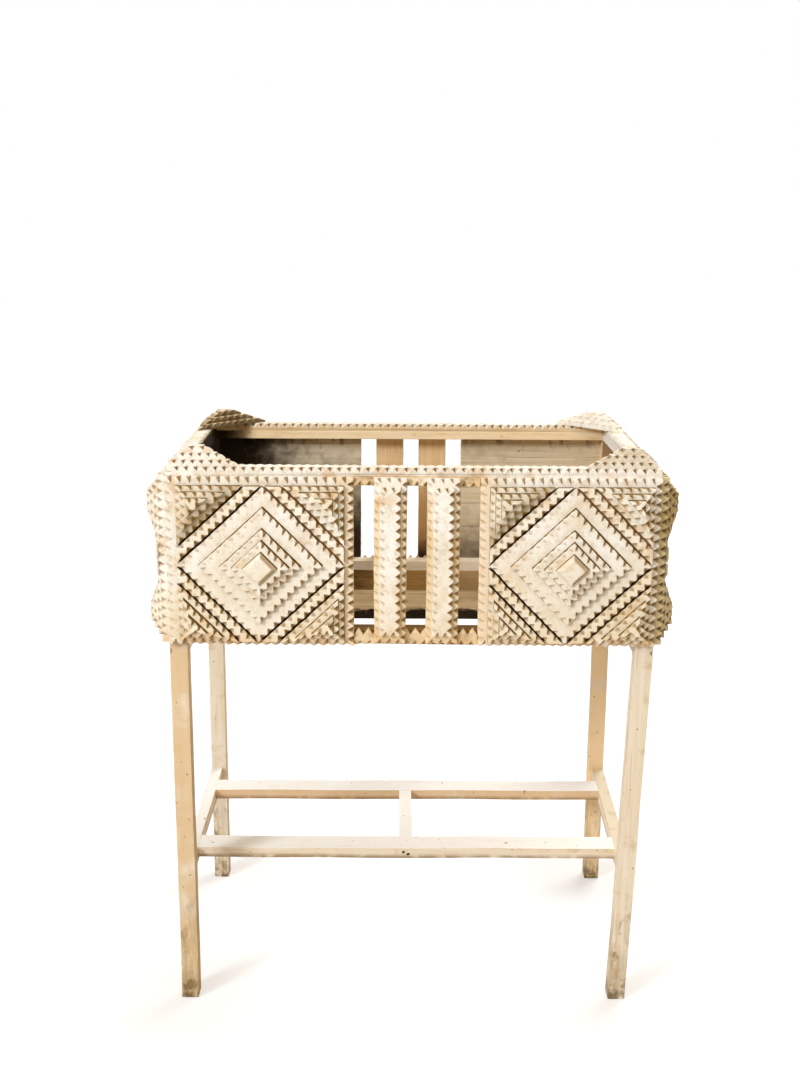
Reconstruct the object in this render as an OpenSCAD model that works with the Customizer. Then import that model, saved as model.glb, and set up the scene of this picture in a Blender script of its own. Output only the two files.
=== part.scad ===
// Tramp art planter: an open slatted box on a four-legged stand.
// Every visible edge of the box is chip-carved. Diamonds and corner triangles are
// stacks of thin notched layers glued on the boards, each layer smaller than the last.
// Origin on the floor under the middle of the stand, front towards -Y, all sizes in mm.

/* [Stand] */
// Width over the legs
stand_w = 683; // [620:1:800]
// Depth over the legs
stand_d = 401; // [360:1:460]
// Side of a square leg
leg_t = 25; // [23:1:30]
// How far the front right foot leans in under the box
foot_lean = 15.5; // [0:0.5:20]
// Chamfer round a foot
foot_chamfer = 2; // [1:0.5:4]
// Height of the top faces of all the stretchers
stretcher_z = 210; // [150:5:320]
// Width of a side stretcher
side_str_w = 18.5; // [14:0.5:22]
// Height of a side stretcher
side_str_h = 24; // [18:1:40]
// Width of a long stretcher
long_str_w = 40; // [24:1:60]
// Height of a long stretcher
long_str_h = 16; // [12:1:24]
// Distance from the legs' outer face to the outer edge of a long stretcher
long_str_inset = 76; // [40:1:110]
// Width of the cross stretcher
cross_str_w = 20; // [16:1:30]
// Middle of the cross stretcher, right of the stand's middle
cross_str_x = -5; // [-60:1:60]

/* [Nails] */
// Diameter of a nail's shank
nail_d = 2.5; // [2:0.1:3.5]
// Diameter of a nail's head
nail_head_d = 5; // [4:0.1:7]
// Thickness of a nail's head
nail_head_t = 1.2; // [0.8:0.1:2]
// How deep a nail's head is set below the face
nail_set = 0.8; // [0.2:0.1:2]
// How far a nail reaches into the cross stretcher
nail_bite = 25; // [15:1:40]
// Distance between the two nails of a joint, across and up
nail_spread = 7; // [5:0.5:9]
// Play round a nail in its hole
nail_play = 0.1; // [0.05:0.05:0.2]

/* [Box] */
// Height of the rim's top face
rim_z = 816; // [720:2:950]
// Thickness of a rim strip
rim_t = 11.5; // [9:0.5:16]
// How far the long rim strips stop short of the left-hand legs' outer faces
rim_short = 10; // [0:1:14]
// Height of a carved board on the long sides
board_h = 240; // [230:1:300]
// Thickness of a carved board
board_t = 11; // [9:0.5:16]
// Width of the left-hand board on each long side
left_board_w = 259; // [235:1:270]
// Width of the right-hand board on the front
right_board_w = 248; // [235:1:270]
// Width of the right-hand board on the rear
rear_right_board_w = 256; // [235:1:270]
// How far a board's outer edge stays back from the leg's outer face
board_setback = 1; // [1:0.5:6]
// Height of the top rails and of the low end rails
rail_h = 13; // [10:1:16]
// Height of the two long low rails
low_rail_h = 20; // [16:1:26]
// Clearance between pieces that butt
butt = 0.3; // [0.1:0.1:0.5]

/* [Floor] */
// Height of the floor's top face above the lower edge of the long boards
floor_lift = 4.5; // [3:0.5:10]
// Thickness of a floor board
floor_t = 11; // [8:0.5:14]
// Width of a floor board
floor_board_w = 119.5; // [90:0.5:140]
// Gap between the two floor boards
floor_seam = 1; // [0.5:0.5:4]

/* [Slats] */
// Width of a slat
slat_w = 44.5; // [36:0.5:50]
// Thickness of a slat
slat_t = 7; // [6:0.5:10]
// Width of the strip laid on a slat
overlay_w = 28; // [20:1:32]
// Thickness of the strip laid on a slat
overlay_t = 7; // [6:0.5:10]
// How far that strip stays short of the slat's ends
overlay_end = 12; // [6:1:20]
// How far a slat's foot stays above the lower edge of the boards
slat_lift = 4; // [2:1:12]
// Thickness of the toothed strips behind the slats
bay_t = 6; // [5:0.5:9]
// Height of the toothed strip under the rim
bay_top_h = 12; // [10:1:16]
// How far the teeth of the low strip stand above the low rail
tooth_show = 3.5; // [2:0.5:6]
// Height of a tooth on the low strip
tooth_h = 9; // [5:0.5:11]

/* [Carving] */
// Spacing of the notches along an edge
notch_pitch = 13; // [10:0.5:16]
// How far a notch reaches in over the face
notch_in = 6.5; // [4:0.5:7.5]
// How far a notch reaches down the side
notch_down = 5; // [3:0.5:5]
// How far a notch in the edge of a board reaches in and down
board_notch = 9; // [6:0.5:9.5]
// Share of a notch's reach left uncut at a square corner
corner_land = 0.4; // [0.3:0.1:0.8]
// How far the edge between two notches stays flat, measured in height
notch_land = 0.4; // [0.2:0.1:0.8]

/* [Stacks] */
// Thickness of one layer
layer_t = 6.5; // [6:0.5:9]
// Glue line under a layer
glue = 0.15; // [0.1:0.05:0.3]
// Open joint on either side of the strips that run round a diamond
stack_gap = 2.3; // [1.5:0.1:4]
// Width of those strips
strip_w = 15; // [14:0.5:18]
// Border of bare board left and right of the carving
side_border = 13; // [10:0.5:16]
// Border on the outer side of the front left board
left_border = 16; // [10:0.5:20]
// Border on the outer side of the front right board
right_border = 10; // [8:0.5:16]
// Border of bare board above the carving
top_border = 11.5; // [9:0.5:16]
// Border of bare board below the carving
low_border = 6.5; // [4:0.5:10]
// Step in from the first to the second and from the second to the third diamond
wide_step = 20.5; // [16:0.5:21]
// Step in to the fourth diamond and to the block on top
narrow_step = 11; // [10:0.5:12]
// How far a diamond's top point stands to the right of its middle, and its low point to the left
diamond_lean = 4; // [0:0.5:6]
// Width of the bevel round the block on top
bevel_w = 5; // [3:0.5:7]
// Depth of that bevel
bevel_h = 4; // [2:0.5:5]
// How much deeper the bevel is cut on two of the block's sides
bevel_skew = 0.3; // [0.2:0.1:0.5]
// Step in along the two square sides of a corner triangle
tri_side_step = 7.5; // [6:0.5:8]
// Step in along its sloping side
tri_slope_step = 10; // [8:0.5:10.5]
// Length of the square sides of the first triangle on a corner of the rim
rim_tri_leg = 96; // [90:1:120]
// How far that triangle stays back from the rim's outer edges
rim_tri_inset = 6; // [2:0.5:12]
// Thickness of its layers
rim_layer_t = 8; // [6:0.5:9]
// Step in along its two square sides
rim_tri_side_step = 10; // [8:0.5:11]
// Step in along its sloping side
rim_tri_slope_step = 6; // [4:0.5:8]

/* [Hidden] */

half_w = stand_w / 2;
half_d = stand_d / 2;
in_w = half_w - leg_t;                       // inner faces of the legs, across
in_d = half_d - leg_t;                       // inner faces of the legs, in depth
frame_z = rim_z - rim_t;                     // top of the legs, rails and boards
board_z = frame_z - board_h;                 // lower edge of the long boards
floor_z = board_z + floor_lift;              // top face of the floor
floor_low_z = floor_z - floor_t;             // underside of the floor
end_z = floor_low_z - rail_h;                // lower edge of the low end rails
board_edge = half_w - board_setback;         // outer edge of the long boards
left_bay_x = -board_edge + left_board_w;     // left side of both slatted bays
front_bay_x = board_edge - right_board_w;    // right side of the front bay
rear_bay_x = board_edge - rear_right_board_w;   // right side of the rear bay
end_board_w = 2 * (half_d - board_setback);  // width of an end board
slat_h = board_h - slat_lift;
diamond_insets = [
    0, wide_step, 2 * wide_step, 2 * wide_step + narrow_step, 2 * wide_step + 2 * narrow_step
];
tri_layers = 3;
rim_tri_layers = 3;
lean_at_stretcher = foot_lean * (1 - stretcher_z / end_z);
side_str_in = half_w - side_str_w;           // inner face of a side stretcher
cut = 1;                                     // how far a cutter runs past what it cuts

cream = "#EADBC0";
aged_cream = "#DCC7A4";
bare_wood = "#C9A77C";
grey_wood = "#A89A84";
iron = "#5A4A3C";

// Length of the line from the origin to p
function len2(p) = sqrt(p[0] * p[0] + p[1] * p[1]);

// Angle between the two sides that meet at corner i of an outline
function corner_angle(pts, i) =
    let(n = len(pts))
    let(a = pts[(i + n - 1) % n] - pts[i])
    let(b = pts[(i + 1) % n] - pts[i])
    acos((a * b) / (len2(a) * len2(b)));

// Length of edge that stays uncut beside a corner, longer at a sharp corner
function corner_margin(angle, reach_in) = corner_land * reach_in / tan(angle / 2);

// One row of slanted V notches along an edge that runs along +X from the origin.
// The carved face is z = 0, the side is y = 0 and the wood lies at y > 0, z < 0.
module notch_row(run, reach_in, reach_down) {
    slant = len2([reach_in, reach_down]);
    depth = reach_in * reach_down / slant;
    count = max(1, round(run / notch_pitch));
    step = run / count;
    saw = [
        for (i = [0 : count - 1])
            each [[i * step, notch_land], [(i + 0.5) * step, -depth]]
    ];
    rotate([atan2(reach_in, -reach_down), 0, 0])
        translate([0, 0, -reach_in * reach_in / slant - cut])
            linear_extrude(slant + 2 * cut)
                polygon(concat(saw, [[run, notch_land], [run, notch_land + cut], [0, notch_land + cut]]));
}

// A flat plate on z = 0 whose chosen edges are notched on the upper face.
// The outline runs anticlockwise, and edge i starts at corner i.
module notched_plate(outline, thick, edges, reach_in = notch_in, reach_down = notch_down) {
    n = len(outline);
    difference() {
        linear_extrude(thick) polygon(outline);
        for (i = edges) {
            from = outline[i];
            to = outline[(i + 1) % n];
            lead = corner_margin(corner_angle(outline, i), reach_in);
            tail = corner_margin(corner_angle(outline, (i + 1) % n), reach_in);
            run = len2(to - from) - lead - tail;
            translate([from[0], from[1], thick])
                rotate([0, 0, atan2(to[1] - from[1], to[0] - from[0])])
                    translate([lead, 0, 0])
                        notch_row(run, reach_in, min(reach_down, thick - cut));
        }
    }
}

// A flat plate on z = 0 with a bevel round its upper face
module bevelled_plate(outline, thick) {
    n = len(outline);
    difference() {
        linear_extrude(thick) polygon(outline);
        for (i = [0 : n - 1]) {
            side = outline[(i + 1) % n] - outline[i];
            deep = bevel_h + (i % 2) * bevel_skew;
            over = cut * deep / bevel_w;
            translate([outline[i][0], outline[i][1], thick])
                rotate([90, 0, atan2(side[1], side[0]) + 90])
                    translate([0, 0, -bevel_w])
                        linear_extrude(len2(side) + 2 * bevel_w)
                            polygon([[-cut, -deep - over], [bevel_w + cut, over], [-cut, over]]);
        }
    }
}

function rectangle(x0, y0, x1, y1) = [[x0, y0], [x1, y0], [x1, y1], [x0, y1]];

// Diamond with half width a and half height b whose top point stands off by lean
function rhombus(a, b, lean) = [[a, 0], [lean, b], [-a, 0], [-lean, -b]];

// Right triangle with its square corner at the origin and sides a and b
function square_corner(a, b) = [[0, 0], [a, 0], [0, b]];

// What is left of such a triangle, as a share, once its square sides have moved in by side
// and its sloping side by slope
function tri_share(a, b, side, slope) = 1 - side / a - side / b - slope * len2([a, b]) / (a * b);

// Places children drawn on the XY plane, with +Y up and +Z outwards, on an outer face of the legs
module on_front(x, z) translate([x, -half_d, z]) rotate([90, 0, 0]) children();
module on_rear(x, z) mirror([0, 1, 0]) on_front(x, z) children();
module on_right(z) translate([half_w, 0, z]) rotate([90, 0, 90]) children();
module on_left(z) mirror([1, 0, 0]) on_right(z) children();

// Mirrors children made for the front right corner to the corner that sx and sy name
module at_corner(sx, sy) mirror([sx < 0 ? 1 : 0, 0, 0]) mirror([0, sy > 0 ? 1 : 0, 0]) children();

// Square leg that runs up inside the box as its corner post, with a carved outer edge there
module leg(sx, sy) {
    lean = sx > 0 && sy < 0 ? foot_lean : 0;
    c = foot_chamfer;
    color(cream)
        at_corner(sx, sy)
            difference() {
                intersection() {
                    translate([0, -in_d, 0])
                        rotate([90, 0, 0])
                            linear_extrude(leg_t)
                                polygon([
                                    [in_w - lean + c, 0], [half_w - lean - c, 0], [half_w - lean, c],
                                    [half_w, end_z], [half_w, frame_z],
                                    [in_w, frame_z], [in_w, end_z], [in_w - lean, c]
                                ]);
                    translate([in_w - lean - cut, 0, 0])
                        rotate([90, 0, 90])
                            linear_extrude(leg_t + lean + 2 * cut)
                                polygon([
                                    [-half_d + c, 0], [-in_d - c, 0], [-in_d, c],
                                    [-in_d, frame_z], [-half_d, frame_z], [-half_d, c]
                                ]);
                }
                translate([half_w, -half_d, end_z])
                    rotate([0, -90, 0])
                        rotate([180, 0, 0])
                            notch_row(frame_z - end_z, notch_down, notch_down);
            }
}

// Inner face of the right side stretcher at depth y: it follows the leaning front leg
function right_str_in(y) = side_str_in - lean_at_stretcher * (in_d - y) / (2 * in_d);

// Side stretcher between a front and a rear leg, flush with their outer faces
module side_stretcher(side) {
    color(cream)
        translate([0, 0, stretcher_z - side_str_h])
            linear_extrude(side_str_h)
                polygon(side < 0
                    ? rectangle(-half_w, -in_d, -side_str_in, in_d)
                    : [
                        [right_str_in(-in_d), -in_d], [right_str_in(-in_d) + side_str_w, -in_d],
                        [half_w, in_d], [side_str_in, in_d]
                    ]);
}

// The two nails of the joint between the front long stretcher and the cross stretcher
module joint_nails(play) {
    out_y = -half_d + long_str_inset;
    mid_z = stretcher_z - long_str_h / 2;
    for (s = [-1, 1])
        translate([cross_str_x + s * nail_spread / 2, out_y + nail_set, mid_z - s * nail_spread / 4])
            rotate([-90, 0, 0]) {
                cylinder(h = long_str_w + nail_bite, d = nail_d + play, $fn = 24);
                translate([0, 0, play > 0 ? -nail_set - cut : 0])
                    cylinder(
                        h = nail_head_t + (play > 0 ? nail_set + cut + play : 0),
                        d = nail_head_d + play, $fn = 24);
            }
}

module stretcher_nails() {
    color(iron) {
        joint_nails(0);
        mirror([0, 1, 0]) joint_nails(0);
    }
}

// Long stretcher between the two side stretchers, tops flush
module long_stretcher(side) {
    y0 = side < 0 ? -half_d + long_str_inset : half_d - long_str_inset - long_str_w;
    y1 = y0 + long_str_w;
    color(cream)
        difference() {
            translate([0, 0, stretcher_z - long_str_h])
                linear_extrude(long_str_h)
                    polygon([
                        [-side_str_in, y0], [right_str_in(y0), y0],
                        [right_str_in(y1), y1], [-side_str_in, y1]
                    ]);
            mirror([0, side < 0 ? 0 : 1, 0]) joint_nails(nail_play);
        }
}

// Short stretcher across the middle, between the two long ones
module cross_stretcher() {
    reach = half_d - long_str_inset - long_str_w;
    color(cream)
        difference() {
            translate([0, 0, stretcher_z - long_str_h])
                linear_extrude(long_str_h)
                    polygon(rectangle(
                        cross_str_x - cross_str_w / 2, -reach, cross_str_x + cross_str_w / 2, reach));
            joint_nails(nail_play);
            mirror([0, 1, 0]) joint_nails(nail_play);
        }
}

// Rail between two legs, flush with both their faces
module long_rail(side, z, height) {
    color(bare_wood)
        translate([-in_w, side < 0 ? -half_d : in_d, z])
            cube([2 * in_w, leg_t, height]);
}

module end_rail(side, z) {
    color(bare_wood)
        translate([side < 0 ? -half_w : in_w, -in_d, z])
            cube([leg_t, 2 * in_d, rail_h]);
}

// Lengthwise floor board on the low end rails. The one in the middle has a carved front edge.
module floor_board(place) {
    y1 = in_d - butt - place * (floor_board_w + floor_seam);
    length = half_w - butt;
    color(grey_wood)
        translate([0, 0, floor_low_z])
            notched_plate(
                rectangle(-length, y1 - floor_board_w, length, y1), floor_t, place > 0 ? [0] : []);
}

// Carved board nailed on the outside of the legs and rails
module board(width, height) {
    color(cream)
        notched_plate(rectangle(-width / 2, 0, width / 2, height), board_t, [0, 1, 2, 3],
            board_notch, board_notch);
}

// Half width and half height of the carved field on a board, and the place of its middle
function field_w(width, left, right) = (width - left - right) / 2;
function field_h(height) = (height - top_border - low_border) / 2;
function field_mid(height, left, right) = [(left - right) / 2, low_border + field_h(height), board_t];

// Stack of diamonds in the middle of a board's carved field, with a bevelled block on top
module diamond(width, height, left = side_border, right = side_border) {
    a = field_w(width, left, right);
    b = field_h(height);
    across = a * b / len2([a, b]);
    last = len(diamond_insets) - 1;
    color(cream)
        translate(field_mid(height, left, right))
            for (i = [0 : last]) {
                share = 1 - diamond_insets[i] / across;
                shape = rhombus(a * share, b * share, diamond_lean * share);
                translate([0, 0, i * layer_t + glue])
                    if (i < last) notched_plate(shape, layer_t - glue, [0, 1, 2, 3]);
                    else bevelled_plate(shape, layer_t - glue);
            }
}

// One stack of right triangles with its square corner at the origin
module triangle_stack(a, b, count, thick, side_step, slope_step) {
    for (i = [0 : count - 1]) {
        share = tri_share(a, b, i * side_step, i * slope_step);
        translate([i * side_step, i * side_step, i * thick + glue])
            notched_plate(square_corner(a * share, b * share), thick - glue, [0, 1, 2]);
    }
}

// Strip beside a diamond, across a corner with sides a and b, carved along both long edges
module corner_strip(a, b) {
    near = tri_share(a, b, 0, stack_gap);
    far = tri_share(a, b, 0, stack_gap + strip_w);
    translate([0, 0, glue])
        notched_plate(
            [[a * far, 0], [a * near, 0], [0, b * near], [0, b * far]], layer_t - glue, [1, 3]);
}

// The four strips round a board's diamond and the four triangle stacks that fill the corners
module triangles(width, height, left = side_border, right = side_border) {
    a = field_w(width, left, right);
    b = field_h(height);
    color(aged_cream)
        translate(field_mid(height, left, right))
            for (sx = [0, 1], sy = [0, 1]) {
                side = a + (sx == sy ? -diamond_lean : diamond_lean);
                share = tri_share(side, b, 0, 2 * stack_gap + strip_w);
                mirror([sx, 0, 0])
                    mirror([0, sy, 0])
                        translate([-a, -b, 0]) {
                            corner_strip(side, b);
                            triangle_stack(
                                side * share, b * share, tri_layers, layer_t,
                                tri_side_step, tri_slope_step);
                        }
            }
}

// Toothed strip under the rim, behind the slats
module bay_strip_top(bay_x) {
    color(aged_cream)
        translate([0, frame_z - bay_top_h - board_z, 0])
            notched_plate(
                rectangle(left_bay_x + butt, 0, bay_x - butt, bay_top_h), bay_t, [0]);
}

// Toothed strip on the outside of a low rail: sharp teeth on top, a carved edge below
module bay_strip_low(bay_x) {
    x0 = left_bay_x + butt;
    run = bay_x - butt - x0;
    count = round(run / notch_pitch);
    step = run / count;
    top = low_rail_h + tooth_show;
    teeth = [
        for (i = [count - 1 : -1 : 0])
            each [[x0 + (i + 1) * step, top - tooth_h], [x0 + (i + 0.5) * step, top]]
    ];
    color(aged_cream)
        notched_plate(
            concat([[x0, 0], [x0 + run, 0]], teeth, [[x0, top - tooth_h]]), bay_t, [0]);
}

// Slat nailed over the two toothed strips
module slat() {
    color(cream)
        translate([0, slat_lift, bay_t])
            notched_plate(rectangle(-slat_w / 2, 0, slat_w / 2, slat_h), slat_t, [0, 1, 2, 3]);
}

// Narrower strip glued on a slat
module overlay() {
    color(cream)
        translate([0, slat_lift + overlay_end, bay_t + slat_t])
            notched_plate(
                rectangle(-overlay_w / 2, 0, overlay_w / 2, slat_h - 2 * overlay_end),
                overlay_t, [0, 1, 2, 3]);
}

// Rim strip over a long rail and its legs, carved along both top edges
module rim_long(side) {
    color(cream)
        mirror([0, side < 0 ? 0 : 1, 0])
            translate([0, 0, frame_z])
                notched_plate(
                    rectangle(-half_w + rim_short, -half_d, half_w, -in_d), rim_t, [0, 2],
                    notch_in, notch_in);
}

// Rim strip over an end rail, between the long strips
module rim_end(side) {
    reach = in_d - butt;
    color(cream)
        mirror([side < 0 ? 1 : 0, 0, 0])
            translate([0, 0, frame_z])
                notched_plate(
                    rectangle(in_w, -reach, half_w, reach), rim_t, [1, 3], notch_in, notch_in);
}

// Stack of triangles that lies on a corner of the rim and bridges the box's inner corner
module rim_corner(sx, sy) {
    color(aged_cream)
        at_corner(sx, sy)
            translate([half_w - rim_tri_inset, -half_d + rim_tri_inset, rim_z])
                rotate([0, 0, 90])
                    triangle_stack(
                        rim_tri_leg, rim_tri_leg, rim_tri_layers, rim_layer_t,
                        rim_tri_side_step, rim_tri_slope_step);
}

// Middle of slat i of a pair that is spaced evenly in a bay that ends at bay_x
function slat_gap(bay_x) = (bay_x - left_bay_x - 2 * slat_w) / 3;
function slat_x(i, bay_x) = left_bay_x + slat_w / 2 + slat_gap(bay_x) + i * (slat_w + slat_gap(bay_x));

left_board_x = left_bay_x - left_board_w / 2;
right_board_x = front_bay_x + right_board_w / 2;
rear_board_x = rear_bay_x + rear_right_board_w / 2;

leg(-1, -1);  // leg_front_left
leg(1, -1);  // leg_front_right
leg(-1, 1);  // leg_rear_left
leg(1, 1);  // leg_rear_right
side_stretcher(-1);  // side_stretcher_left
side_stretcher(1);  // side_stretcher_right
long_stretcher(-1);  // long_stretcher_front
long_stretcher(1);  // long_stretcher_rear
cross_stretcher();
stretcher_nails();
long_rail(-1, frame_z - rail_h, rail_h);  // top_rail_front
long_rail(1, frame_z - rail_h, rail_h);  // top_rail_rear
end_rail(-1, frame_z - rail_h);  // top_rail_left
end_rail(1, frame_z - rail_h);  // top_rail_right
long_rail(-1, board_z, low_rail_h);  // low_rail_front
long_rail(1, board_z, low_rail_h);  // low_rail_rear
end_rail(-1, end_z);  // low_rail_left
end_rail(1, end_z);  // low_rail_right
floor_board(0);  // floor_board_rear
floor_board(1);  // floor_board_middle
on_front(left_board_x, board_z) board(left_board_w, board_h);  // board_front_left
on_front(right_board_x, board_z) board(right_board_w, board_h);  // board_front_right
on_rear(left_board_x, board_z) board(left_board_w, board_h);  // board_rear_left
on_rear(rear_board_x, board_z) board(rear_right_board_w, board_h);  // board_rear_right
on_left(board_z) board(end_board_w, board_h);  // board_end_left
on_right(board_z) board(end_board_w, board_h);  // board_end_right
on_front(left_board_x, board_z)  // diamond_front_left
        diamond(left_board_w, board_h, left_border, side_border);
on_front(right_board_x, board_z)  // diamond_front_right
        diamond(right_board_w, board_h, side_border, right_border);
on_rear(left_board_x, board_z) diamond(left_board_w, board_h);  // diamond_rear_left
on_rear(rear_board_x, board_z) diamond(rear_right_board_w, board_h);  // diamond_rear_right
on_left(board_z) diamond(end_board_w, board_h);  // diamond_end_left
on_right(board_z) diamond(end_board_w, board_h);  // diamond_end_right
on_front(left_board_x, board_z)  // triangles_front_left
        triangles(left_board_w, board_h, left_border, side_border);
on_front(right_board_x, board_z)  // triangles_front_right
        triangles(right_board_w, board_h, side_border, right_border);
on_rear(left_board_x, board_z) triangles(left_board_w, board_h);  // triangles_rear_left
on_rear(rear_board_x, board_z) triangles(rear_right_board_w, board_h);  // triangles_rear_right
on_left(board_z) triangles(end_board_w, board_h);  // triangles_end_left
on_right(board_z) triangles(end_board_w, board_h);  // triangles_end_right
on_front(0, board_z) bay_strip_top(front_bay_x);  // bay_strip_top_front
on_rear(0, board_z) bay_strip_top(rear_bay_x);  // bay_strip_top_rear
on_front(0, board_z) bay_strip_low(front_bay_x);  // bay_strip_low_front
on_rear(0, board_z) bay_strip_low(rear_bay_x);  // bay_strip_low_rear
on_front(slat_x(0, front_bay_x), board_z) slat();  // slat_front_left
on_front(slat_x(1, front_bay_x), board_z) slat();  // slat_front_right
on_rear(slat_x(0, rear_bay_x), board_z) slat();  // slat_rear_left
on_rear(slat_x(1, rear_bay_x), board_z) slat();  // slat_rear_right
on_front(slat_x(0, front_bay_x), board_z) overlay();  // overlay_front_left
on_front(slat_x(1, front_bay_x), board_z) overlay();  // overlay_front_right
on_rear(slat_x(0, rear_bay_x), board_z) overlay();  // overlay_rear_left
on_rear(slat_x(1, rear_bay_x), board_z) overlay();  // overlay_rear_right
rim_long(-1);  // rim_front
rim_long(1);  // rim_rear
rim_end(-1);  // rim_left
rim_end(1);  // rim_right
rim_corner(-1, -1);  // rim_corner_front_left
rim_corner(1, -1);  // rim_corner_front_right
rim_corner(-1, 1);  // rim_corner_rear_left
rim_corner(1, 1);  // rim_corner_rear_right
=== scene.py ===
# %% [markdown]
# # A carved planter, dressed in Blender
# The object is an open planter of softwood: a box whose skin is built up from thin layers, each one
# notched along its edges with a knife, on four square legs with stretchers. It was painted off-white
# long ago, and the paint has yellowed, worn thin and gathered dirt in every notch.
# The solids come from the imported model. This script gives them their hand-cut edges, their paint and
# their light, and a camera that stands where the photographer stood.

# %% Load the frame
import math
import bmesh
import bpy
from mathutils import Matrix, Vector, noise


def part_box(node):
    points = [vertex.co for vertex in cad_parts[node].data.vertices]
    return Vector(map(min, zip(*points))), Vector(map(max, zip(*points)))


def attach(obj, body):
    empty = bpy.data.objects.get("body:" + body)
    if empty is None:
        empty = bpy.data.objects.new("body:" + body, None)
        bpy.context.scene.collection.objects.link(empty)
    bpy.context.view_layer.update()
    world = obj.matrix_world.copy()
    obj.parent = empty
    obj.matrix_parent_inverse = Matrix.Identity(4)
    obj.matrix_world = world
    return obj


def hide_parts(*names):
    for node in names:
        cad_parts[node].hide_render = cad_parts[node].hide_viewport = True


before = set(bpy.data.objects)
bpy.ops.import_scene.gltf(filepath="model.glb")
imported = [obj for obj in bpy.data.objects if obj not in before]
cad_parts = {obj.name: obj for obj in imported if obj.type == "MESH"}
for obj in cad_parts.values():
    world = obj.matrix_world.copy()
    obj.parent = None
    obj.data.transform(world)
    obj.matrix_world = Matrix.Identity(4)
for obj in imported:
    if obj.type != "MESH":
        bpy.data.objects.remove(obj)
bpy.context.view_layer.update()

MM = 0.001
scene = bpy.context.scene

# %% [markdown]
# ## Two helpers
# Colours are given as sRGB hex values, but shaders work in linear light, so one function turns
# the one into the other. A second one adds a shader node, sets its properties and fills its sockets
# with values or with links, which keeps the recipes for the finishes short.

# %% Colour and node helpers
def colour(hex_value):
    """A linear RGBA colour from an sRGB hex string such as F3E9D6."""
    def linear(channel):
        c = int(channel, 16) / 255
        return c / 12.92 if c <= 0.04045 else ((c + 0.055) / 1.055) ** 2.4
    return tuple(linear(hex_value[i:i + 2]) for i in (0, 2, 4)) + (1.0,)


def add(where, kind, inputs=None, **settings):
    """Adds one node to a tree, or to the tree that a socket is in. Settings are the node's properties,
    inputs its sockets' values or what feeds them."""
    tree = where.id_data
    node = tree.nodes.new("ShaderNode" + kind)
    for name, value in settings.items():
        setattr(node, name, value)
    for name, value in (inputs or {}).items():
        if isinstance(value, bpy.types.NodeSocket):
            tree.links.new(value, node.inputs[name])
        else:
            node.inputs[name].default_value = value
    return node


print("a cream white in linear light:", [round(c, 3) for c in colour("F3E9D6")])

# %% [markdown]
# ## The camera
# The camera was found by matching the legs, the stretchers and the rim to the photograph. It stands
# about two metres in front of the planter, a little above the rim. A new camera looks straight down, so
# it is raised about its X axis to 14 degrees under the horizon, then turned and rolled a little.

# %% Camera
PHOTO_H = 1067   # the photograph's height in pixels, which the focal length is measured in
FOCAL_PX = 1346.0233
SENSOR = 36.0
EYE = Vector((-25.7204, -2009.3299, 1166.8537)) * MM
PITCH, YAW, ROLL = 0.240068, -0.004477, 0.006714

camera = bpy.data.objects.new("photo_camera", bpy.data.cameras.new("photo_camera"))
camera.data.sensor_width = SENSOR
camera.data.lens = FOCAL_PX / PHOTO_H * SENSOR
camera.matrix_world = (Matrix.Translation(EYE) @ Matrix.Rotation(YAW, 4, "Z")
                       @ Matrix.Rotation(math.pi / 2 - PITCH, 4, "X") @ Matrix.Rotation(ROLL, 4, "Z"))
scene.collection.objects.link(camera)
scene.camera = camera
print("lens of", round(camera.data.lens, 2), "mm")

# %% [markdown]
# ## World and lamps
# The photograph was taken in a white room with a window on the left. A square lamp far away stands for
# the window, so its shadows are crisp, and a bigger, nearer one over the photographer's head for the
# ceiling. The world gives the warm light of the walls, and a lamp behind on the right keeps the back
# readable. To the camera, and to anything that mirrors, the world is plain white.

# %% World and lamps
scene.view_settings.view_transform = "Standard"

WALL_LIGHT, WALL_TINT = 0.172, "FFD484"   # soft light of the room on the object
AIM = Vector((0, 0, 0.6))   # the lamps look at the middle of the planter
LAMPS = (   # name, where it shines from, metres away, side in metres, watts, tint
    ("window", (-0.64, -0.65, 0.43), 8.0, 1.6, 390, "F1F8FF"),
    ("ceiling", (-0.15, -0.5, 0.85), 3.0, 2.5, 48, "FFF4E4"),
    ("back_light", (0.5, 0.62, 0.6), 3.2, 2.0, 84, "FFFDFA"),
)

world = bpy.data.worlds.new("white_room")
scene.world = world
world.use_nodes = True
tree = world.node_tree
tree.nodes.clear()
path = add(tree, "LightPath")
seen = path.outputs["Is Camera Ray"]
for ray in ("Is Glossy Ray", "Is Transmission Ray"):
    seen = add(tree, "Math", {0: seen, 1: path.outputs[ray]}, operation="MAXIMUM").outputs[0]
walls = add(tree, "Background", {"Color": colour(WALL_TINT), "Strength": WALL_LIGHT})
white = add(tree, "Background", {"Color": (1, 1, 1, 1), "Strength": 1.0})
either = add(tree, "MixShader", {0: seen, 1: walls.outputs[0], 2: white.outputs[0]})
add(tree, "OutputWorld", {"Surface": either.outputs[0]})

for name, shines_from, away, size, watts, tint in LAMPS:
    data = bpy.data.lights.new(name, "AREA")
    data.size, data.energy, data.color = size, watts, colour(tint)[:3]
    lamp = bpy.data.objects.new(name, data)
    towards = Vector(shines_from).normalized()
    lamp.location = AIM + towards * away
    lamp.rotation_euler = (-towards).to_track_quat("-Z", "Y").to_euler()
    scene.collection.objects.link(lamp)
print("lamps:", [lamp[0] for lamp in LAMPS])

# %% [markdown]
# ## Masks and coats
# Every finish is built like real paint: a ground, then one coat after another, each written as its mask,
# its tone and its strength. A mask comes from something that can be measured, such as a height, the way
# a face looks or a noise, and sets in between two values of it. A noise pattern is written as its size
# in millimetres and those two values.

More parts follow.
